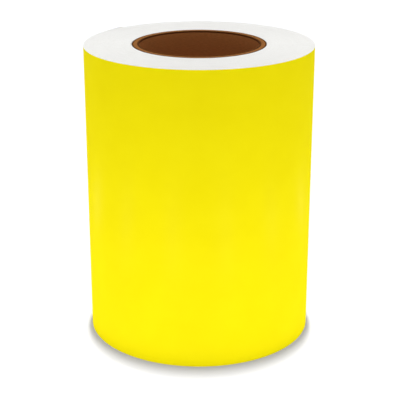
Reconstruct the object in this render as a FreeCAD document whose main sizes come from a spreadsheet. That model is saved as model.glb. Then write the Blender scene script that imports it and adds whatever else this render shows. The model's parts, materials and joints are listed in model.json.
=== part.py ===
"""Roll of pressure-sensitive sign vinyl wound on a spiral paperboard core.

The roll stands on one end. Z runs along the core's axis, z = 0 is the lower end and the
origin is the centre of the bore there. Lengths are in millimetres, angles in degrees.

The web is film, with a coat of adhesive on its back, on a release liner, and it is wound
with the film outside. Its free end lies on the turn below, so the outside is a spiral that
steps down by one web thickness there. Two half circles whose centres are half a step apart
draw that spiral: the upper half starts at the free end, and the lower half runs back to it.
"""
import FreeCAD, Part
import os

from FreeCAD import Placement, Rotation, Vector
from Sketcher import Constraint

DIMENSIONS = {
    # paperboard core, wound from spiral plies: the inner ply's seam is skived flush, and
    # each of the others leaves a butt seam
    "bore_radius": 38.1,
    "ply_thickness": 0.4,
    "ply_count": 11,
    "seam_pitch": 150,
    "seam_gap": 0.5,
    "seam_overrun": 2,
    "seam_margin": 0.2,
    "first_seam_angle": 205,
    "seam_stagger": 131,
    # the wound roll, whose web has a little air wound in with each turn
    "roll_width": 190.5,
    "roll_radius": 73.05,
    "web_pitch": 0.275,
    "film_thickness": 0.10,
    "adhesive_thickness": 0.02,
    "release_gap": 0.005,
    "liner_thickness": 0.14,
    # double-sided tape that starts the web on the core
    "start_tape_thickness": 0.1,
    "start_tape_sweep": 33,
    # the free end, which lifts, and the flap of film that peels off its liner
    "tail_azimuth": 135,
    "tail_sweep": 37,
    "peel_sweep": 21,
    "joint_gap": 0.075,
    # closing tape: one half on the free end, the other on the turn below, with a fold
    "tape_width": 25,
    "tape_thickness": 0.13,
    "tape_sweep": 18,
    "tape_clearance": 0.01,
    "tape_fold_sweep": 5,
}

FULL_TURN = 360
HALF_TURN = 180
Z_AXIS = Vector(0, 0, 1)

doc = FreeCAD.newDocument("vinyl_roll")
dims = doc.addObject("Spreadsheet::Sheet", "Dims")
for row, (alias, value) in enumerate(DIMENSIONS.items(), start=1):
    dims.set(f"A{row}", alias)
    dims.set(f"B{row}", str(value))
    dims.setAlias(f"B{row}", alias)
doc.recompute()

subparts = []


def size(expression):
    """An expression in which each dimension's alias is read from the sheet."""
    words = expression.split()
    return " ".join(f"Dims.{word}" if word in DIMENSIONS else word for word in words)


def finish(part, label, turn):
    """Name a sub-part and turn it about the roll's axis."""
    part.Label = label
    part.Placement = Placement(Vector(), Rotation(Z_AXIS, 1))
    part.setExpression("Placement.Rotation.Angle", size(turn))
    subparts.append(part)


# ---------------------------------------------------------------- core plies


def origin_plane(body, role):
    """One of a body's own origin planes."""
    return next(plane for plane in body.Origin.OriginFeatures if plane.Role == role)


def plane_sketch(body, name, role):
    """A sketch on one of the body's origin planes."""
    sketch = body.newObject("Sketcher::SketchObject", name)
    sketch.AttachmentSupport = [(origin_plane(body, role), "")]
    sketch.MapMode = "FlatFace"
    return sketch


def add_circle(sketch, radius):
    """A circle about the sketch's origin, with its radius bound to the sheet."""
    circle = sketch.addGeometry(Part.Circle(Vector(), Z_AXIS, 1 + sketch.GeometryCount), False)
    sketch.addConstraint(Constraint("Coincident", circle, 3, -1, 1))
    index = sketch.addConstraint(Constraint("Radius", circle, 1 + circle))
    sketch.setExpression(f"Constraints[{index}]", size(radius))


def add_seam_section(sketch, inner):
    """The seam's rectangle, across the ply's wall and a little past each face."""
    low, high = DIMENSIONS["bore_radius"], DIMENSIONS["bore_radius"] + 1
    corners = [Vector(low, 0), Vector(high, 0), Vector(high, 1), Vector(low, 1)]
    for start, end in zip(corners, corners[1:] + corners[:1]):
        sketch.addGeometry(Part.LineSegment(start, end), False)
    for side, kind in enumerate(("Horizontal", "Vertical", "Horizontal", "Vertical")):
        sketch.addConstraint(Constraint("Coincident", side, 2, (side + 1) % 4, 1))
        sketch.addConstraint(Constraint(kind, side))
    sketch.addConstraint(Constraint("PointOnObject", 0, 1, -1))
    lengths = {
        sketch.addConstraint(Constraint("DistanceX", -1, 1, 0, 1, low)): f"{inner} - seam_margin",
        sketch.addConstraint(Constraint("DistanceX", 0, 1, 0, 2, 1)): "ply_thickness + 2 * seam_margin",
        sketch.addConstraint(Constraint("DistanceY", 1, 1, 1, 2, 1)): "seam_gap",
    }
    for index, expression in lengths.items():
        sketch.setExpression(f"Constraints[{index}]", size(expression))


def ply_tube(body, label, inner):
    """The ply's tube, one ply thick and as long as the roll is wide."""
    ring = plane_sketch(body, f"{label}_ring", "XY_Plane")
    add_circle(ring, inner)
    add_circle(ring, f"{inner} + ply_thickness")
    tube = body.newObject("PartDesign::Pad", f"{label}_tube")
    tube.Profile = ring
    tube.setExpression("Length", size("roll_width"))
    doc.recompute()
    return tube


def cut_butt_seam(body, label, inner, tube):
    """Cut the helical gap between the edges of the ply's strip."""
    section = plane_sketch(body, f"{label}_seam_section", "XZ_Plane")
    section.setExpression("AttachmentOffset.Base.y", size("-1 * seam_overrun"))
    add_seam_section(section, inner)
    seam = body.newObject("PartDesign::SubtractiveHelix", f"{label}_seam")
    seam.Profile = section
    seam.ReferenceAxis = (section, ["V_Axis"])
    seam.Mode = "pitch-height-angle"
    seam.setExpression("Pitch", size("seam_pitch"))
    seam.setExpression("Height", size("roll_width + 2 * seam_overrun"))
    doc.recompute()
    if not seam.Shape.Volume < tube.Shape.Volume:
        raise RuntimeError(f"{label}: the seam cuts nothing")


def core_ply(label, number):
    """One ply of the core: a tube of spiral paperboard strip."""
    inner = f"bore_radius + {number} * ply_thickness"
    body = doc.addObject("PartDesign::Body", label)
    tube = ply_tube(body, label, inner)
    if number > 0:
        cut_butt_seam(body, label, inner, tube)
    finish(body, label, f"first_seam_angle + {number} * seam_stagger")


# ------------------------------------------------------- sectors and bands


def sector(name, radius, start, sweep, centre="0", low="0", height="roll_width"):
    """A cylinder's sector from angle start over sweep, centred at x = centre."""
    part = doc.addObject("Part::Cylinder", name)
    part.Placement = Placement(Vector(), Rotation(Z_AXIS, 1))
    part.setExpression("Radius", size(radius))
    part.setExpression("Height", size(height))
    part.setExpression("Angle", size(sweep))
    part.setExpression("Placement.Base.x", size(centre))
    part.setExpression("Placement.Base.z", size(low))
    part.setExpression("Placement.Rotation.Angle", size(start))
    return part


def boolean(kind, name, base, tool):
    """A cut or a fuse of two parts."""
    part = doc.addObject(f"Part::{kind}", name)
    part.Base = base
    part.Tool = tool
    return part


def band(name, outer, thickness, start, sweep, **place):
    """A thin curved strip: one sector less the same sector with a smaller radius."""
    outside = sector(f"{name}_outside", outer, start, sweep, **place)
    inside = sector(f"{name}_inside", f"{outer} - {thickness}", start, sweep, **place)
    return boolean("Cut", name, outside, inside)


# The upper half of the spiral holds the free end, at angle 0, and the lower half lies
# before it. Depth is measured inwards from the roll's outside.
UPPER = {"centre": "web_pitch / 4"}
LOWER = {"centre": "-1 * web_pitch / 4"}
UPPER_RADIUS = "roll_radius"
LOWER_RADIUS = "roll_radius - web_pitch / 2"

COATED_FILM = "( film_thickness + adhesive_thickness )"
LAYERS = {
    "film": ("0", COATED_FILM),
    "liner": (f"{COATED_FILM} + release_gap", "liner_thickness"),
}


def negative(depth):
    """The text that takes a sum of depths away from a radius."""
    return "- ( " + depth + " )"


def upper_strip(name, layer, start, sweep):
    """A strip of one layer on the spiral's upper half."""
    depth, thickness = LAYERS[layer]
    outer = f"{UPPER_RADIUS} {negative(depth)}"
    return band(name, outer, thickness, start, sweep, **UPPER)


def outer_turn(layer):
    """The last whole turn of one layer, from the step round to the tail's hinge."""
    depth, thickness = LAYERS[layer]
    name = f"outer_{layer}"
    start = "tail_sweep + joint_gap"
    upper = upper_strip(f"{name}_upper", layer, start, f"{HALF_TURN} - ( {start} )")
    outer = f"{LOWER_RADIUS} {negative(depth)}"
    lower = band(f"{name}_lower", outer, thickness, f"{HALF_TURN}", f"{HALF_TURN}", **LOWER)
    finish(boolean("Fuse", name, upper, lower), name, "tail_azimuth")


def wound_web():
    """The web under the outer turn, as one solid that fits the core and its start tape."""
    core_radius = "bore_radius + ply_count * ply_thickness"
    upper = sector("web_upper", f"{UPPER_RADIUS} - web_pitch", "0", f"{HALF_TURN}", **UPPER)
    lower = sector("web_lower", f"{LOWER_RADIUS} - web_pitch", f"{HALF_TURN}", f"{HALF_TURN}", **LOWER)
    hole = sector("web_hole", core_radius, "0", f"{FULL_TURN}")
    tape = sector("web_tape_recess", f"{core_radius} + start_tape_thickness", "0", "start_tape_sweep")
    disc = boolean("Fuse", "web_disc", upper, lower)
    middle = boolean("Fuse", "web_middle", hole, tape)
    finish(boolean("Cut", "wound_web", disc, middle), "wound_web", "tail_azimuth")


def start_tape():
    """Double-sided tape between the core and the web's first turn."""
    outer = "bore_radius + ply_count * ply_thickness + start_tape_thickness"
    tape = band("start_tape", outer, "start_tape_thickness", "0", "start_tape_sweep")
    finish(tape, "start_tape", "tail_azimuth")


# ------------------------------------------------------ free end and its tape


def tail():
    """The free end of the web: its liner, and the film that stays on it."""
    finish(upper_strip("tail_liner", "liner", "0", "tail_sweep"), "tail_liner", "tail_azimuth")
    start = "peel_sweep + joint_gap"
    film = upper_strip("tail_film", "film", start, f"tail_sweep - ( {start} )")
    finish(film, "tail_film", "tail_azimuth")


def peel_flap():
    """The last stretch of film, which peels off the liner."""
    finish(upper_strip("peel_film", "film", "0", "peel_sweep"), "peel_film", "tail_azimuth")


def closing_tape():
    """Paper tape over the free end: the half on the film, and the half with the pull fold."""
    place = {"low": "( roll_width - tape_width ) / 2", "height": "tape_width"}
    on_film = band(
        "closing_tape", f"{UPPER_RADIUS} + tape_thickness", "tape_thickness",
        "0", "tape_sweep", **UPPER, **place,
    )
    finish(on_film, "closing_tape", "tail_azimuth")
    outer = f"{LOWER_RADIUS} + tape_clearance + tape_thickness"
    single = band(
        "tab_single", outer, "tape_thickness",
        "-1 * tape_sweep", "tape_sweep - joint_gap", **LOWER, **place,
    )
    fold = band(
        "tab_fold", f"{outer} + tape_thickness", "2 * tape_thickness",
        "-1 * tape_sweep", "tape_fold_sweep", **LOWER, **place,
    )
    finish(boolean("Fuse", "tape_pull_tab", single, fold), "tape_pull_tab", "tail_azimuth")


# ------------------------------------------------------------------ the roll

last_ply = DIMENSIONS["ply_count"] - 1
for ply in range(DIMENSIONS["ply_count"]):
    if ply == 0:
        ply_label = "core_inner_ply"
    elif ply == last_ply:
        ply_label = "core_outer_ply"
    else:
        ply_label = f"core_body_ply_{ply:02d}"
    core_ply(ply_label, ply)

start_tape()
wound_web()
for web_layer in LAYERS:
    outer_turn(web_layer)
tail()
peel_flap()
closing_tape()
doc.recompute()

for item in doc.Objects:
    if "Invalid" in item.State or "Error" in item.State:
        raise RuntimeError(f"{item.Label} failed: {item.State}")
for part in subparts:
    if part.Shape.isNull() or not part.Shape.isValid() or len(part.Shape.Solids) != 1:
        raise RuntimeError(f"{part.Label} is not one valid solid")

os.makedirs("parts", exist_ok=True)
for part in subparts:
    part.Shape.exportStep(os.path.join("parts", f"{part.Label}.step"))
    box = part.Shape.BoundBox
    print(f"{part.Label}: {part.Shape.Volume:.1f} mm3, z {box.ZMin:.2f} to {box.ZMax:.2f}")
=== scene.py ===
"""Looks of the roll of sign vinyl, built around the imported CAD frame. Lengths are in metres.

The web is a real spiral of film, adhesive and liner, wound about +Z. Its place is given by
phi, the angle in radians from the free end back along the web: phi is 0 at the free end,
one turn is 2 pi, and the start on the core is about 110 turns away.
"""
import json
import math
import random

import bpy
import numpy as np
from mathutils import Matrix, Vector


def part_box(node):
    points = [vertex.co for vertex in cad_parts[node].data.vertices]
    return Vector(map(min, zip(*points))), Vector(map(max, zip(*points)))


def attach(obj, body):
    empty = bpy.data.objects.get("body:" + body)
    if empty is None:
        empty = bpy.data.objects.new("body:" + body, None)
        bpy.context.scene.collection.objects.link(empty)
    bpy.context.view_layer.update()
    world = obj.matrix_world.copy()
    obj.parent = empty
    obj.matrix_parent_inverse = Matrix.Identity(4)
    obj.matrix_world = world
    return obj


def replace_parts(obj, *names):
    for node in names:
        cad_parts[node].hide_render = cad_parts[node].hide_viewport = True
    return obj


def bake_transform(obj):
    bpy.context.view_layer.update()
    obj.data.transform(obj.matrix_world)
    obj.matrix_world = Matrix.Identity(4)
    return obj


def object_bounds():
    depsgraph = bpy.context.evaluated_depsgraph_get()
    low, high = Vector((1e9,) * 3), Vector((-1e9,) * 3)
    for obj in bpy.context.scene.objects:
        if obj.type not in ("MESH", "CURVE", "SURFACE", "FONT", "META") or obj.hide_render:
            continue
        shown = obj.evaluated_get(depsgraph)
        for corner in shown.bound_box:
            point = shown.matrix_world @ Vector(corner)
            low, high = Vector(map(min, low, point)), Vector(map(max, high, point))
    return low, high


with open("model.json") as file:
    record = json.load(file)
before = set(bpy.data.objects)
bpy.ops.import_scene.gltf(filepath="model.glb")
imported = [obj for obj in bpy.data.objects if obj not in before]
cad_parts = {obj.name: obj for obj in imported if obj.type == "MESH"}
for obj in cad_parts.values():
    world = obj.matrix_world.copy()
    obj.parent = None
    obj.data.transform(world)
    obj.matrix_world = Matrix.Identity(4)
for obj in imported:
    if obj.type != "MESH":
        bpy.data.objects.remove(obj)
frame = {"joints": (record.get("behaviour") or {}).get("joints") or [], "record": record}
cad_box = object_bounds()

MM = 0.001
TURN = 2 * math.pi


def joint(name):
    """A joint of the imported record, by name."""
    return next(j for j in frame["joints"] if j["name"] == name)


def azimuth(point):
    """A point's angle about the roll's axis."""
    return math.atan2(point[1], point[0])


# ---------------------------------------------------------------- sizes

WIDTH = cad_box[1].z
PITCH = 0.275 * MM
FILM = 0.10 * MM
ADHESIVE = 0.02 * MM
RELEASE_GAP = 0.005 * MM
LINER = 0.14 * MM
PLY = 0.4 * MM
PLIES = 11
TAPE = 0.13 * MM

bore = next(m for m in frame["record"]["mounts"] if m["name"] == "core_bore")
BORE_RADIUS = bore["dims"]["r_mm"] * MM
CORE_RADIUS = BORE_RADIUS + PLIES * PLY
ROLL_RADIUS = math.hypot(*joint("tape_peel")["pos_m"][:2]) - TAPE - PITCH / 4
START_RADIUS = CORE_RADIUS + 0.1 * MM
START_TAPE = 0.05 * MM
START_TAPE_LIFT = 0.01 * MM
START_TAPE_MARGIN = 0.2 * MM
START_TAPE_SWEEP = math.radians(33)

FREE_END = azimuth(joint("tape_peel")["pos_m"])
TAIL_HINGE = azimuth(joint("tail_lift")["pos_m"]) - FREE_END
PEEL_HINGE = azimuth(joint("film_peel")["pos_m"]) - FREE_END
SPRING_SWEEP = math.radians(19)
SPRING_LIFT = 0.8 * MM
SPRING_HELD = 0.12  # of the width, each way from the middle, that the closing tape holds down
SPRING_LEVELS = 33

CLOSING_TAPE_SWEEP = math.radians(18)
CLOSING_TAPE_FOLD = math.radians(5)
CLOSING_TAPE_ROWS = 77
TAPE_STEP = 0.5  # degrees between sections
TAPE_SLOPE_STEP = 0.15  # and where the tape steps down off the free end
TAPE_SLOPE = math.radians(1.2)
TAPE_CLEARANCE = 0.012 * MM
TOOTH_PITCH = 1.3 * MM
TOOTH_DEPTH = 0.585 * MM

FILM_DEPTHS = (0.0, FILM)
ADHESIVE_DEPTHS = (FILM, FILM + ADHESIVE)
LINER_DEPTHS = (FILM + ADHESIVE + RELEASE_GAP, FILM + ADHESIVE + RELEASE_GAP + LINER)


# ------------------------------------------------------------- node helpers


def new_material(name):
    """An empty node material with its principled shader: (material, nodes, links, shader)."""
    mat = bpy.data.materials.new(name)
    mat.use_nodes = True
    shader = mat.node_tree.nodes["Principled BSDF"]
    return mat, mat.node_tree.nodes, mat.node_tree.links, shader


def surface_coordinates(nodes, links, scale):
    """The web's own coordinates, in metres along and across it, scaled per axis."""
    uv = nodes.new("ShaderNodeUVMap")
    uv.uv_map = "surface"
    mapping = nodes.new("ShaderNodeMapping")
    mapping.inputs["Scale"].default_value = scale
    links.new(uv.outputs["UV"], mapping.inputs["Vector"])
    return mapping.outputs["Vector"]


def noise(nodes, links, vector, detail=4.0, roughness=0.55):
    """Noise whose cells are one unit of the vector across."""
    node = nodes.new("ShaderNodeTexNoise")
    node.inputs["Scale"].default_value = 1.0
    node.inputs["Detail"].default_value = detail
    node.inputs["Roughness"].default_value = roughness
    links.new(vector, node.inputs["Vector"])
    return node.outputs["Fac"]


def ramp(nodes, links, value, low, high, colours):
    """Colours spread evenly over a value's stretch from low to high."""
    node = nodes.new("ShaderNodeValToRGB")
    links.new(value, node.inputs["Fac"])
    stops = node.color_ramp.elements
    while len(stops) < len(colours):
        stops.new(0.5)
    for index, colour in enumerate(colours):
        stops[index].position = low + (high - low) * index / (len(colours) - 1)
        stops[index].color = (*colour, 1.0)
    return node.outputs["Color"]


def remap(nodes, links, value, low, high):
    """A value from 0 to 1 spread over low to high."""
    node = nodes.new("ShaderNodeMapRange")
    node.inputs["To Min"].default_value = low
    node.inputs["To Max"].default_value = high
    links.new(value, node.inputs["Value"])
    return node.outputs["Result"]


def bump(nodes, links, height, shader, distance, strength=1.0, before=None):
    """Relief of a real height, in metres, on the shader's normal."""
    node = nodes.new("ShaderNodeBump")
    node.inputs["Distance"].default_value = distance
    node.inputs["Strength"].default_value = strength
    links.new(height, node.inputs["Height"])
    if before is not None:
        links.new(before, node.inputs["Normal"])
    links.new(node.outputs["Normal"], shader.inputs["Normal"])
    return node.outputs["Normal"]


# --------------------------------------------------------------- materials

# How deep the painted shade inside the bore's lip reaches from each end.
LIP_SHADE_DEPTH = 1.3 * MM
YELLOW_SHADES = [(0.87, 0.74, 0.0025), (0.89, 0.765, 0.0035)]
LINER_SHADES = [(0.82, 0.81, 0.77), (0.90, 0.895, 0.865)]
ADHESIVE_SHADES = [(0.78, 0.77, 0.70), (0.84, 0.83, 0.77)]
TAPE_SHADES = [(0.60, 0.47, 0.27), (0.76, 0.63, 0.40)]
FILM_EDGE_SHADES = [(0.74, 0.74, 0.715), (0.80, 0.80, 0.785)]
LINER_EDGE_SHADES = [(0.77, 0.765, 0.745), (0.83, 0.825, 0.81)]
TAN_SHADES = [(0.19, 0.074, 0.020), (0.265, 0.107, 0.029), (0.34, 0.147, 0.043)]
# Darker board, partly the core's own tone and partly painted shade: its ply ends draw dark lines at the
# ring's edges, where shade falls in the gap to the web and at the bore's lip.
DARK_SHADES = [(0.058, 0.021, 0.005), (0.088, 0.031, 0.007), (0.12, 0.045, 0.011)]
# Painted light: the bore's face is a lighter copy of the tan board, to brighten the shade inside the
# bore.
BORE_BRIGHTENED_SHADES = [(0.38, 0.152, 0.044), (0.46, 0.19, 0.058), (0.54, 0.228, 0.074)]
# The colour of the painted shade inside the bore's lip.
LIP_PAINTED_SHADE = (0.088, 0.024, 0.003)


def vinyl_material():
    """Calendered vinyl's coloured face: low sheen, fine orange peel, faint tension marks across."""
    mat, nodes, links, shader = new_material("yellow_vinyl_face")
    cloud = noise(nodes, links, surface_coordinates(nodes, links, (40, 40, 1)))
    shade = ramp(nodes, links, cloud, 0.3, 0.7, YELLOW_SHADES)
    links.new(shade, shader.inputs["Base Color"])
    peel = noise(nodes, links, surface_coordinates(nodes, links, (900, 900, 1)), detail=2.0)
    links.new(remap(nodes, links, peel, 0.44, 0.54), shader.inputs["Roughness"])
    tension = noise(nodes, links, surface_coordinates(nodes, links, (160, 9, 1)), detail=2.0)
    lines = bump(nodes, links, tension, shader, 0.02 * MM)
    bump(nodes, links, peel, shader, 0.004 * MM, before=lines)
    shader.inputs["Specular IOR Level"].default_value = 0.0
    shader.inputs["Coat Weight"].default_value = 0.02
    shader.inputs["Coat Roughness"].default_value = 0.32
    return mat


def edge_material(name, shades, roughness):
    """The slit edge of one layer of the web: matt, a little uneven along its length."""
    mat, nodes, links, shader = new_material(name)
    cloud = noise(nodes, links, surface_coordinates(nodes, links, (55, 400, 1)), detail=3.0)
    links.new(ramp(nodes, links, cloud, 0.3, 0.7, shades), shader.inputs["Base Color"])
    grain = noise(nodes, links, surface_coordinates(nodes, links, (2500, 2500, 1)), detail=2.0)
    links.new(remap(nodes, links, grain, roughness - 0.1, roughness + 0.1), shader.inputs["Roughness"])
    bump(nodes, links, grain, shader, 0.012 * MM)
    shader.inputs["Specular IOR Level"].default_value = 0.3
    return mat


def liner_material():
    """Release liner: bleached kraft paper with a silicone coat, so a soft sheen over fine fibre."""
    mat, nodes, links, shader = new_material("release_liner_paper")
    fibre = noise(nodes, links, surface_coordinates(nodes, links, (260, 900, 1)), detail=5.0)
    shade = ramp(nodes, links, fibre, 0.3, 0.7, LINER_SHADES)
    links.new(shade, shader.inputs["Base Color"])
    links.new(remap(nodes, links, fibre, 0.30, 0.45), shader.inputs["Roughness"])
    bump(nodes, links, fibre, shader, 0.01 * MM)
    shader.inputs["Specular IOR Level"].default_value = 0.4
    return mat


def adhesive_material():
    """Pale acrylic adhesive, opaque like the white film back it stands for: glossy, finely lined."""
    mat, nodes, links, shader = new_material("acrylic_adhesive")
    coat = noise(nodes, links, surface_coordinates(nodes, links, (120, 1500, 1)), detail=3.0)
    shade = ramp(nodes, links, coat, 0.3, 0.7, ADHESIVE_SHADES)
    links.new(shade, shader.inputs["Base Color"])
    links.new(remap(nodes, links, coat, 0.12, 0.24), shader.inputs["Roughness"])
    bump(nodes, links, coat, shader, 0.006 * MM)
    return mat


def paint_lip_shade(nodes, links, colour, lip_shade_colour):
    """Painted shade: the board darkened over a depth before each cut end, where shade falls just inside
    the bore's lip.
    """
    place = nodes.new("ShaderNodeTexCoord")
    height = nodes.new("ShaderNodeSeparateXYZ")
    links.new(place.outputs["Object"], height.inputs["Vector"])
    from_middle = nodes.new("ShaderNodeMath")
    from_middle.operation = "SUBTRACT"
    from_middle.inputs[1].default_value = WIDTH / 2
    links.new(height.outputs["Z"], from_middle.inputs[0])
    reach = nodes.new("ShaderNodeMath")
    reach.operation = "ABSOLUTE"
    links.new(from_middle.outputs["Value"], reach.inputs[0])
    lip_shade_mask = nodes.new("ShaderNodeMapRange")
    lip_shade_mask.inputs["From Min"].default_value = WIDTH / 2 - LIP_SHADE_DEPTH
    lip_shade_mask.inputs["From Max"].default_value = WIDTH / 2 - LIP_SHADE_DEPTH / 2
    links.new(reach.outputs["Value"], lip_shade_mask.inputs["Value"])
    mix = nodes.new("ShaderNodeMix")
    mix.data_type = "RGBA"
    links.new(lip_shade_mask.outputs["Result"], mix.inputs["Factor"])
    links.new(colour, mix.inputs["A"])
    mix.inputs["B"].default_value = (*lip_shade_colour, 1.0)
    return mix.outputs["Result"]


def board_material(name, shades, relief, lip_shade_colour=None):
    """Brown core board: fibres lie along the strip, with darker flecks between them."""
    mat, nodes, links, shader = new_material(name)
    along_strip = surface_coordinates(nodes, links, (350, 1600, 1))
    fibre = noise(nodes, links, along_strip, detail=6.0, roughness=0.65)
    colour = ramp(nodes, links, fibre, 0.3, 0.72, shades)
    # Painted shade near each end, for the shade inside the bore's lip.
    if lip_shade_colour is not None:
        colour = paint_lip_shade(nodes, links, colour, lip_shade_colour)
    links.new(colour, shader.inputs["Base Color"])
    cloud = noise(nodes, links, surface_coordinates(nodes, links, (70, 90, 1)), detail=3.0)
    links.new(remap(nodes, links, cloud, 0.78, 0.95), shader.inputs["Roughness"])
    wave = bump(nodes, links, cloud, shader, 0.05 * MM)
    bump(nodes, links, fibre, shader, relief, before=wave)
    shader.inputs["Specular IOR Level"].default_value = 0.05
    return mat


def tape_material():
    """Creped paper tape: short ridges across the strip in a cream paper."""
    mat, nodes, links, shader = new_material("creped_paper_tape")
    crepe = noise(nodes, links, surface_coordinates(nodes, links, (2600, 420, 1)), detail=3.0)
    shade = ramp(nodes, links, crepe, 0.25, 0.75, TAPE_SHADES)
    links.new(shade, shader.inputs["Base Color"])
    links.new(remap(nodes, links, crepe, 0.62, 0.8), shader.inputs["Roughness"])
    bump(nodes, links, crepe, shader, 0.06 * MM)
    shader.inputs["Specular IOR Level"].default_value = 0.3
    return mat


VINYL = vinyl_material()
FILM_EDGE = edge_material("film_slit_edge", FILM_EDGE_SHADES, 0.55)
LINER_EDGE = edge_material("liner_slit_edge", LINER_EDGE_SHADES, 0.75)
LINER_FACE = liner_material()
ADHESIVE_FACE = adhesive_material()
TAN_BOARD = board_material("tan_core_board", TAN_SHADES, 0.04 * MM)
DARK_BOARD = board_material("dark_board_with_painted_shade", DARK_SHADES, 0.04 * MM)
# Painted light and painted shade: a lighter board for the shaded bore, darkened near each end where
# shade falls inside the lip.
BORE_BRIGHTENED_BOARD = board_material("bore_board_painted_light_and_shade", BORE_BRIGHTENED_SHADES, 0.03 * MM, lip_shade_colour=LIP_PAINTED_SHADE)
TAPE_PAPER = tape_material()


# ------------------------------------------------------------------ meshes

SHARP_ANGLE = math.radians(35)


def ribbon(name, sections, along, materials, sides):
    """A closed strip through cross-sections of equal point count, capped at both ends.

    sections is an array (sections, points, 3), along the distance of each section, and
    sides the material index of each side of the section.
    """
    count, points = sections.shape[:2]
    base = (np.arange(count - 1) * points)[:, None]
    this = np.arange(points)[None, :]
    after = (this + 1) % points
    quads = np.stack([base + this, base + after, base + points + after, base + points + this], -1)
    faces = quads.reshape(-1, 4).tolist()
    last = (count - 1) * points
    faces.append(list(range(points))[::-1])
    faces.append([last + index for index in range(points)])
    mesh = bpy.data.meshes.new(name)
    mesh.from_pydata(sections.reshape(-1, 3).tolist(), [], faces)
    for material in materials:
        mesh.materials.append(material)
    slots = np.concatenate([np.tile(sides, count - 1), [sides[0], sides[0]]])
    mesh.polygons.foreach_set("material_index", slots.astype(np.int32))
    lay_surface_uv(mesh, sections, along)
    mesh.shade_smooth()
    mesh.set_sharp_from_angle(angle=SHARP_ANGLE)
    mesh.update()
    piece = bpy.data.objects.new(name, mesh)
    bpy.context.scene.collection.objects.link(piece)
    return piece


def lay_surface_uv(mesh, sections, along):
    """UVs in metres: along the strip, and round its section from the first point."""
    count, points = sections.shape[:2]
    middle = sections[count // 2]
    steps = np.linalg.norm(np.roll(middle, -1, axis=0) - middle, axis=1)
    round_section = np.concatenate([[0.0], np.cumsum(steps)])
    u_low = np.repeat(along[:-1], points)
    u_high = np.repeat(along[1:], points)
    v_low = np.tile(round_section[:-1], count - 1)
    v_high = np.tile(round_section[1:], count - 1)
    quad_uv = np.stack([u_low, v_low, u_low, v_high, u_high, v_high, u_high, v_low], -1)
    caps = np.concatenate([[along[0]] * points, [along[-1]] * points])
    cap_uv = np.stack([caps, np.tile(round_section[:-1], 2)], -1)
    layer = mesh.uv_layers.new(name="surface")
    layer.data.foreach_set("uv", np.concatenate([quad_uv.ravel(), cap_uv.ravel()]).astype(np.float32))


def polar(radius, angle, height):
    """Points from radius, angle and height arrays."""
    return np.stack([radius * np.cos(angle), radius * np.sin(angle), height], -1)


def web_radius(phi):
    """The radius of the web's outer face: it shrinks by one web pitch each turn."""
    return ROLL_RADIUS + PITCH / 4 - PITCH * np.asarray(phi) / TURN


def wander(values, seed, periods, amplitude):
    """A smooth seeded wobble over values, the sum of a few sines, within the amplitude."""
    draw = random.Random(seed)
    total = np.zeros_like(values)
    for period in periods:
        total += np.sin(values * TURN / period + draw.uniform(0, TURN)) / len(periods)
    return amplitude * total


EDGE_RECESS = 0.03 * MM
LEAST_RECESS = 0.02 * MM
WIND_SEED = 11
WIND_PERIODS = (9 * MM, 3.7 * MM, 1.9 * MM)
SHAKE_SEED = 1
SHAKE_PERIODS = (0.83 * TURN, 1.31 * TURN, 0.17 * TURN)
SHAKE = 0.004 * MM


def web_strip(depths, phis, recess, levels=2, lift=None):
    """Cross-sections of one layer of the web, between two depths under its outer face.

    Each section goes up the inner face, over the top edge, down the outer face and back
    under the bottom edge, with a point at each level. The slit edges keep just inside the
    roll's width and wander a little, turn by turn. lift is how far the web stands off the
    turn below, by phi and by the fraction of the width.
    """
    wind = wander(web_radius(phis), WIND_SEED, WIND_PERIODS, EDGE_RECESS)
    shake = wander(phis, SHAKE_SEED, SHAKE_PERIODS, SHAKE)
    drop = EDGE_RECESS + LEAST_RECESS + recess + wind + shake
    fractions = np.linspace(0, 1, levels)
    heights = drop[:, None] + (WIDTH - 2 * drop)[:, None] * fractions
    radius = web_radius(phis)[:, None] + 0 * heights
    if lift is not None:
        radius = radius + lift(phis[:, None], fractions)
    angle = FREE_END + phis[:, None] + 0 * heights
    outer = polar(radius - depths[0], angle, heights)
    inner = polar(radius - depths[1], angle, heights)
    return np.concatenate([inner, outer[:, ::-1]], axis=1)


def web_piece(name, sections, phis, materials, faces):
    """A layer's piece: its first material at the edges, and faces' at the outer and inner face."""
    levels = sections.shape[1] // 2
    outer_face, inner_face = faces
    sides = [inner_face] * (levels - 1) + [0] + [outer_face] * (levels - 1) + [0]
    return ribbon(name, sections, ROLL_RADIUS * phis, materials, sides)


def arc(start, end, step_degrees):
    """Evenly spaced phi from start to end, at most a step apart."""
    count = max(2, math.ceil((end - start) / math.radians(step_degrees)) + 1)
    return np.linspace(start, end, count)


# Each layer's depths, slit edge recess, materials, outer and inner face material, and slot.
# The film's inner face is hidden, and coloured so that no white bleeds in at baked texture seams.
LAYERS = {
    "film": (FILM_DEPTHS, 0.004 * MM, [FILM_EDGE, VINYL], (1, 1), "yellow_vinyl"),
    "adhesive": (ADHESIVE_DEPTHS, 0.008 * MM, [ADHESIVE_FACE], (0, 0), "adhesive"),
    "liner": (LINER_DEPTHS, 0.0, [LINER_EDGE, LINER_FACE], (1, 1), "release_liner"),
}
FINE_STEP = 0.6  # degrees between sections, where faces show
WOUND_STEP = 3.0  # and where only edges do


def layer_piece(layer, name, phis, **shape):
    """A stretch of one layer: coloured film with a white slit edge, its adhesive coat, or the liner."""
    depths, recess, materials, faces, slot = LAYERS[layer]
    sections = web_strip(depths, phis, recess, **shape)
    return web_piece(name, sections, phis, materials, faces)


# ---------------------------------------------------------- the wound turns


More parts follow.
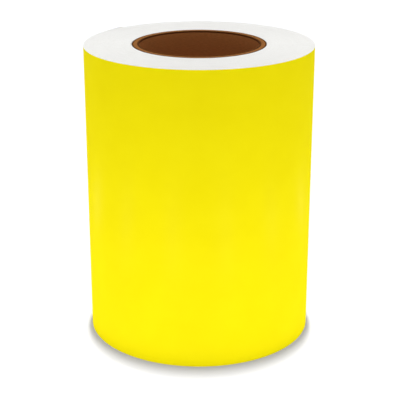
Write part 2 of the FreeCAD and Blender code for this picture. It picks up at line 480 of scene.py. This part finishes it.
def build_wound_turns():
    """The turn that a lifted free end bares, and all the turns under it, of which only edges show."""
    for layer in LAYERS:
        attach(layer_piece(layer, f"second_{layer}_turn", arc(TURN, 2 * TURN, FINE_STEP)), "roll")
    turns = round((web_radius(0.0) - PITCH - START_RADIUS) / PITCH)
    phis = arc(2 * TURN, TURN * turns + START_TAPE_SWEEP, WOUND_STEP)
    for layer, (depths, recess, materials, _, _) in LAYERS.items():
        sections = web_strip(depths, phis, recess)
        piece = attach(web_piece(f"wound_{layer}", sections, phis, materials[:1], (0, 0)), "roll")
        if layer == "film":
            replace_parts(piece, "wound_web")


def build_start_tape():
    """Double-sided tape on the core, under the start of the web."""
    angles = arc(0.0, START_TAPE_SWEEP, FINE_STEP)
    low, high = START_TAPE_MARGIN, WIDTH - START_TAPE_MARGIN
    radii = np.array([START_TAPE_LIFT, START_TAPE_LIFT, START_TAPE, START_TAPE])[None, :] + CORE_RADIUS
    heights = np.array([low, high, high, low])[None, :]
    sections = polar(radii, FREE_END + angles[:, None], heights + 0 * angles[:, None])
    tape = ribbon("start_tape_strip", sections, CORE_RADIUS * angles, [ADHESIVE_FACE], [0] * 4)
    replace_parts(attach(tape, "roll"), "start_tape")


def build_outer_turn():
    """The outermost turn, from the tail's hinge round to the step under the free end."""
    phis = arc(TAIL_HINGE, TURN, FINE_STEP)
    for layer in LAYERS:
        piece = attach(layer_piece(layer, f"outer_{layer}_turn", phis), "roll")
        if layer != "adhesive":
            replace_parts(piece, f"outer_{layer}")


# ------------------------------------------------------- free end and tape


def bend(piece):
    """Apply a strip's transform to its mesh; it does no bending."""
    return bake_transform(piece)


def spring(phi, fraction):
    """How far the free end's corners spring off the turn below, clear of the closing tape."""
    reach = np.clip(1 - phi / SPRING_SWEEP, 0, 1)
    away = np.clip((np.abs(fraction - 0.5) - SPRING_HELD) / (0.5 - SPRING_HELD), 0, 1)
    return SPRING_LIFT * reach ** 2 * away ** 2 * (3 - 2 * away)


def build_tail():
    """The free end: strips of liner, film and adhesive, the film cut at the peel hinge into a part that
    stays and a loose flap, their corners sprung off the turn below.
    """
    shape = {"levels": SPRING_LEVELS, "lift": spring}
    liner = layer_piece("liner", "tail_liner_strip", arc(0.0, TAIL_HINGE, FINE_STEP), **shape)
    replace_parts(bend(liner), "tail_liner")
    fixed_part = arc(PEEL_HINGE, TAIL_HINGE, FINE_STEP)
    film = layer_piece("film", "tail_film_strip", fixed_part, **shape)
    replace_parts(bend(film), "tail_film")
    coat = layer_piece("adhesive", "tail_adhesive_strip", fixed_part, **shape)
    bend(coat)
    loose_part = arc(0.0, PEEL_HINGE, FINE_STEP)
    flap = layer_piece("film", "peel_film_strip", loose_part, **shape)
    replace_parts(bend(flap), "peel_film")
    flap_coat = layer_piece("adhesive", "peel_adhesive_strip", loose_part, **shape)
    bend(flap_coat)


def tape_seat(phi):
    """The radius of the surface under the tape: the free end, or the turn below it."""
    step = np.clip(1 + phi / TAPE_SLOPE, 0, 1)
    step = step * step * (3 - 2 * step)
    above = web_radius(np.maximum(phi, 0.0))
    below = web_radius(TURN + np.minimum(phi, 0.0))
    return below + (above - below) * step


def tape_face(phis, heights, lift):
    """Grid points of one face of the tape, its far end cut in teeth."""
    along = np.repeat(phis[:, None], len(heights), axis=1)
    across_tooth = np.abs(((heights - heights[0]) / TOOTH_PITCH) % 1.0 - 0.5) * 2
    along[-1] -= TOOTH_DEPTH * across_tooth / ROLL_RADIUS
    across = np.repeat(heights[None, :], len(phis), axis=0)
    return polar(tape_seat(along) + lift, FREE_END + along, across)


def build_closing_tape():
    """Creped tape over the free end, with a toothed end and the other folded under as a tab."""
    low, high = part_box("closing_tape")[0].z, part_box("closing_tape")[1].z
    heights = np.linspace(low, high, CLOSING_TAPE_ROWS)
    on_turn_below = arc(-CLOSING_TAPE_SWEEP, -TAPE_SLOPE, TAPE_STEP)[:-1]
    on_slope = arc(-TAPE_SLOPE, 0.0, TAPE_SLOPE_STEP)[:-1]
    on_free_end = arc(0.0, CLOSING_TAPE_SWEEP, TAPE_STEP)
    phis = np.concatenate([on_turn_below, on_slope, on_free_end])
    folded = phis < -CLOSING_TAPE_SWEEP + CLOSING_TAPE_FOLD
    thickness = np.where(folded, 2 * TAPE, TAPE)[:, None]
    inner = tape_face(phis, heights, TAPE_CLEARANCE)
    outer = tape_face(phis, heights, TAPE_CLEARANCE + thickness)
    sections = np.concatenate([inner, outer[:, ::-1]], axis=1)
    sides = [0] * (2 * CLOSING_TAPE_ROWS)
    tape = ribbon("closing_tape_strip", sections, ROLL_RADIUS * phis, [TAPE_PAPER], sides)
    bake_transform(tape)
    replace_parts(tape, "closing_tape", "tape_pull_tab")


# -------------------------------------------------------------------- core

SEAM_PITCH = 150 * MM
SEAM_GAP = 0.45 * MM
SKIVED_GAP = 0.02 * MM
CHAMFER = 0.07 * MM
CUT_RECESS = 0.03 * MM
LEAST_HEIGHT = 0.01 * MM
CUT_PERIODS = (0.9 * TURN, 0.31 * TURN)
# Plies of darker board, partly painted shade at the ring's inner and outer edges.
DARK_PLIES_INSIDE = 3
DARK_PLIES_OUTSIDE = 2
PLY_STEP = 2.0  # degrees between sections
FIRST_SEAM = math.radians(205)
SEAM_STAGGER = math.radians(131)
SEAM_START = -2 * MM


def core_strip(name, number, board, inner_face, gap):
    """One ply: a flat strip of board wound in a helix and cut square at the roll's two ends."""
    inside = BORE_RADIUS + number * PLY
    outside = inside + PLY
    seam = FIRST_SEAM + number * SEAM_STAGGER
    first = -(SEAM_PITCH + SEAM_START) / SEAM_PITCH * TURN
    last = (WIDTH - SEAM_START) / SEAM_PITCH * TURN
    turn = arc(first, last, PLY_STEP)
    low_edge = SEAM_START + SEAM_PITCH * turn / TURN + gap
    high_edge = low_edge + SEAM_PITCH - gap
    cut = CUT_RECESS + wander(turn, number, CUT_PERIODS, CUT_RECESS)
    low = np.clip(low_edge, cut, WIDTH - cut - LEAST_HEIGHT)
    high = np.clip(high_edge, cut + LEAST_HEIGHT, WIDTH - cut)
    angle = seam + turn
    tall = np.minimum(CHAMFER, (high - low) / 3)
    corners = [
        (outside, low + tall), (outside - CHAMFER, low),
        (inside + CHAMFER, low), (inside, low + tall),
        (inside, high - tall), (inside + CHAMFER, high),
        (outside - CHAMFER, high), (outside, high - tall),
    ]
    sections = np.stack([polar(radius + 0 * turn, angle, height) for radius, height in corners], axis=1)
    strip = ribbon(name, sections, inside * turn, [board, inner_face], [0, 0, 0, 1, 0, 0, 0, 0])
    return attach(strip, "roll")


def build_core():
    """The plies: the innermost and outermost few are of darker board, partly the core's own tone and
    partly painted shade at the ring's inner and outer edges.
    """
    for number in range(PLIES):
        if number == 0:
            node = "core_inner_ply"
        elif number == PLIES - 1:
            node = "core_outer_ply"
        else:
            node = f"core_body_ply_{number:02d}"
        tan = DARK_PLIES_INSIDE <= number < PLIES - DARK_PLIES_OUTSIDE
        board = TAN_BOARD if tan else DARK_BOARD
        # Painted light and shade: the innermost ply's bore face is the lighter board, darkened near
        # each end.
        inner_face = BORE_BRIGHTENED_BOARD if number == 0 else board
        gap = SKIVED_GAP if number == 0 else SEAM_GAP
        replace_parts(core_strip(f"{node}_strip", number, board, inner_face, gap), node)


# ------------------------------------------------------------------- stage

OVERHEAD_POWER = 288
OVERHEAD_PLACE = (0, 0.05, 3.0)
OVERHEAD_RADIUS = 0.12
FLOOR_POWER = 1400
FLOOR_LAMP_PLACE = (0, 0.30, 8.0)
FLOOR_LAMP_SIZE = (0.12, 0.66)
FILLS = 8
FILL_POWER = 0.34
FILL_DISTANCE = 0.25
FILL_HEIGHT = 0.02
FILL_RADIUS = 0.018
BACK_DIMMING = 0.3  # the part taken off the fill straight behind, so that the back doesn't clip
BORE_FILL_POWER = 0.036
BORE_FILL_PLACE = (0, 0, 0.08)
GLOW_COLOUR = (0.9, 0.92, 1.09, 1.0)
FLOOR_SHADE = (0.3, 0.3, 0.3, 1.0)
FLOOR_HALF = 6.0
FLOOR_LEVEL = -0.1 * MM
FLOOR_GLOW = [(0.2, 0.31), (6.0, 0.8)]  # distance from the roll's axis, and the glow there
CAMERA_SENSOR = 36
CAMERA_LENS = 102.467
CAMERA_BACK = 9.7227 * ROLL_RADIUS
CAMERA_ABOVE = 2.0673 * ROLL_RADIUS
CAMERA_TILT = math.radians(19.853)
CAMERA_TURN = -0.00065
# height in the sky, from the horizon at 0 to the zenith at 1, and the light there
BACKDROP = [(0.0, 1.0), (0.13, 1.0), (0.2, 0.12), (1.0, 0.45)]


def build_floor():
    """A plain pale floor, which glows more with distance so that it stays white far away."""
    mesh = bpy.data.meshes.new("floor")
    around = [(-1, -1), (1, -1), (1, 1), (-1, 1)]
    corners = [(FLOOR_HALF * x, FLOOR_HALF * y, FLOOR_LEVEL) for x, y in around]
    mesh.from_pydata(corners, [], [(0, 1, 2, 3)])
    mat, nodes, links, shader = new_material("pale_floor")
    shader.inputs["Base Color"].default_value = FLOOR_SHADE
    shader.inputs["Roughness"].default_value = 0.9
    shader.inputs["Specular IOR Level"].default_value = 0.0
    shader.inputs["Emission Color"].default_value = GLOW_COLOUR
    place = nodes.new("ShaderNodeTexCoord")
    distance = nodes.new("ShaderNodeVectorMath")
    distance.operation = "LENGTH"
    links.new(place.outputs["Object"], distance.inputs[0])
    glow = nodes.new("ShaderNodeMapRange")
    for end, (reach, strength) in zip(("Min", "Max"), FLOOR_GLOW):
        glow.inputs[f"From {end}"].default_value = reach
        glow.inputs[f"To {end}"].default_value = strength
    links.new(distance.outputs["Value"], glow.inputs["Value"])
    links.new(glow.outputs["Result"], shader.inputs["Emission Strength"])
    mesh.materials.append(mat)
    floor = bpy.data.objects.new("floor", mesh)
    bpy.context.scene.collection.objects.link(floor)
    return floor


def build_lamp(name, power, place, radius=None):
    """A lamp that the camera doesn't see: a soft ball of a radius, or a flat panel facing down."""
    data = bpy.data.lights.new(name, "AREA" if radius is None else "POINT")
    data.energy = power
    if radius is not None:
        data.shadow_soft_size = radius
    lamp = bpy.data.objects.new(name, data)
    lamp.location = place
    lamp.visible_camera = False
    bpy.context.scene.collection.objects.link(lamp)
    return lamp


def link_light(lamp, receiver, state):
    """Light the receiver alone (INCLUDE), or everything but the receiver (EXCLUDE)."""
    lit = bpy.data.collections.new(f"{lamp.name}_receivers")
    lit.objects.link(receiver)
    lit.collection_objects[0].light_linking.link_state = state
    lamp.light_linking.receiver_collection = lit


def build_lamps(floor):
    """A lamp overhead, a panel for the floor alone, one in the bore, and a low ring of fills."""
    overhead = build_lamp("overhead", OVERHEAD_POWER, OVERHEAD_PLACE, OVERHEAD_RADIUS)
    link_light(overhead, floor, "EXCLUDE")
    panel = build_lamp("overhead_floor", FLOOR_POWER, FLOOR_LAMP_PLACE)
    panel.data.shape = "RECTANGLE"
    panel.data.size, panel.data.size_y = FLOOR_LAMP_SIZE
    link_light(panel, floor, "INCLUDE")
    build_lamp("bore_fill", BORE_FILL_POWER, BORE_FILL_PLACE, FILL_RADIUS)
    for number in range(FILLS):
        side = TURN * (number + 0.5) / FILLS
        place = (FILL_DISTANCE * math.cos(side), FILL_DISTANCE * math.sin(side), FILL_HEIGHT)
        power = FILL_POWER * (1 - BACK_DIMMING * max(0.0, math.sin(side)))
        fill = build_lamp(f"fill_{number}", power, place, FILL_RADIUS)
        link_light(fill, floor, "EXCLUDE")


def build_world():
    """Even studio light from all round, with a bright band low down for a backdrop."""
    world = bpy.data.worlds.new("studio")
    world.use_nodes = True
    nodes, links = world.node_tree.nodes, world.node_tree.links
    direction = nodes.new("ShaderNodeTexCoord")
    height = nodes.new("ShaderNodeSeparateXYZ")
    links.new(direction.outputs["Generated"], height.inputs["Vector"])
    sky = nodes.new("ShaderNodeValToRGB")
    links.new(height.outputs["Z"], sky.inputs["Fac"])
    stops = sky.color_ramp.elements
    stops.new(0.5)
    stops.new(0.5)
    for stop, (place, light) in zip(stops, BACKDROP):
        stop.position = place
        stop.color = (light, light, light, 1.0)
    links.new(sky.outputs["Color"], nodes["Background"].inputs["Color"])
    bpy.context.scene.world = world


def build_camera():
    """The camera, set by the roll's own size: where it stands, and how far down it looks."""
    data = bpy.data.cameras.new("camera")
    data.sensor_width = CAMERA_SENSOR
    data.lens = CAMERA_LENS
    camera = bpy.data.objects.new("camera", data)
    camera.location = (0, -CAMERA_BACK, WIDTH + CAMERA_ABOVE)
    camera.rotation_euler = (math.pi / 2 - CAMERA_TILT, 0, CAMERA_TURN)
    bpy.context.scene.collection.objects.link(camera)
    bpy.context.scene.camera = camera


build_camera()
build_core()
build_start_tape()
build_wound_turns()
build_outer_turn()
build_tail()
build_closing_tape()
floor = build_floor()
build_world()
build_lamps(floor)
bpy.context.scene.view_settings.view_transform = "Standard"
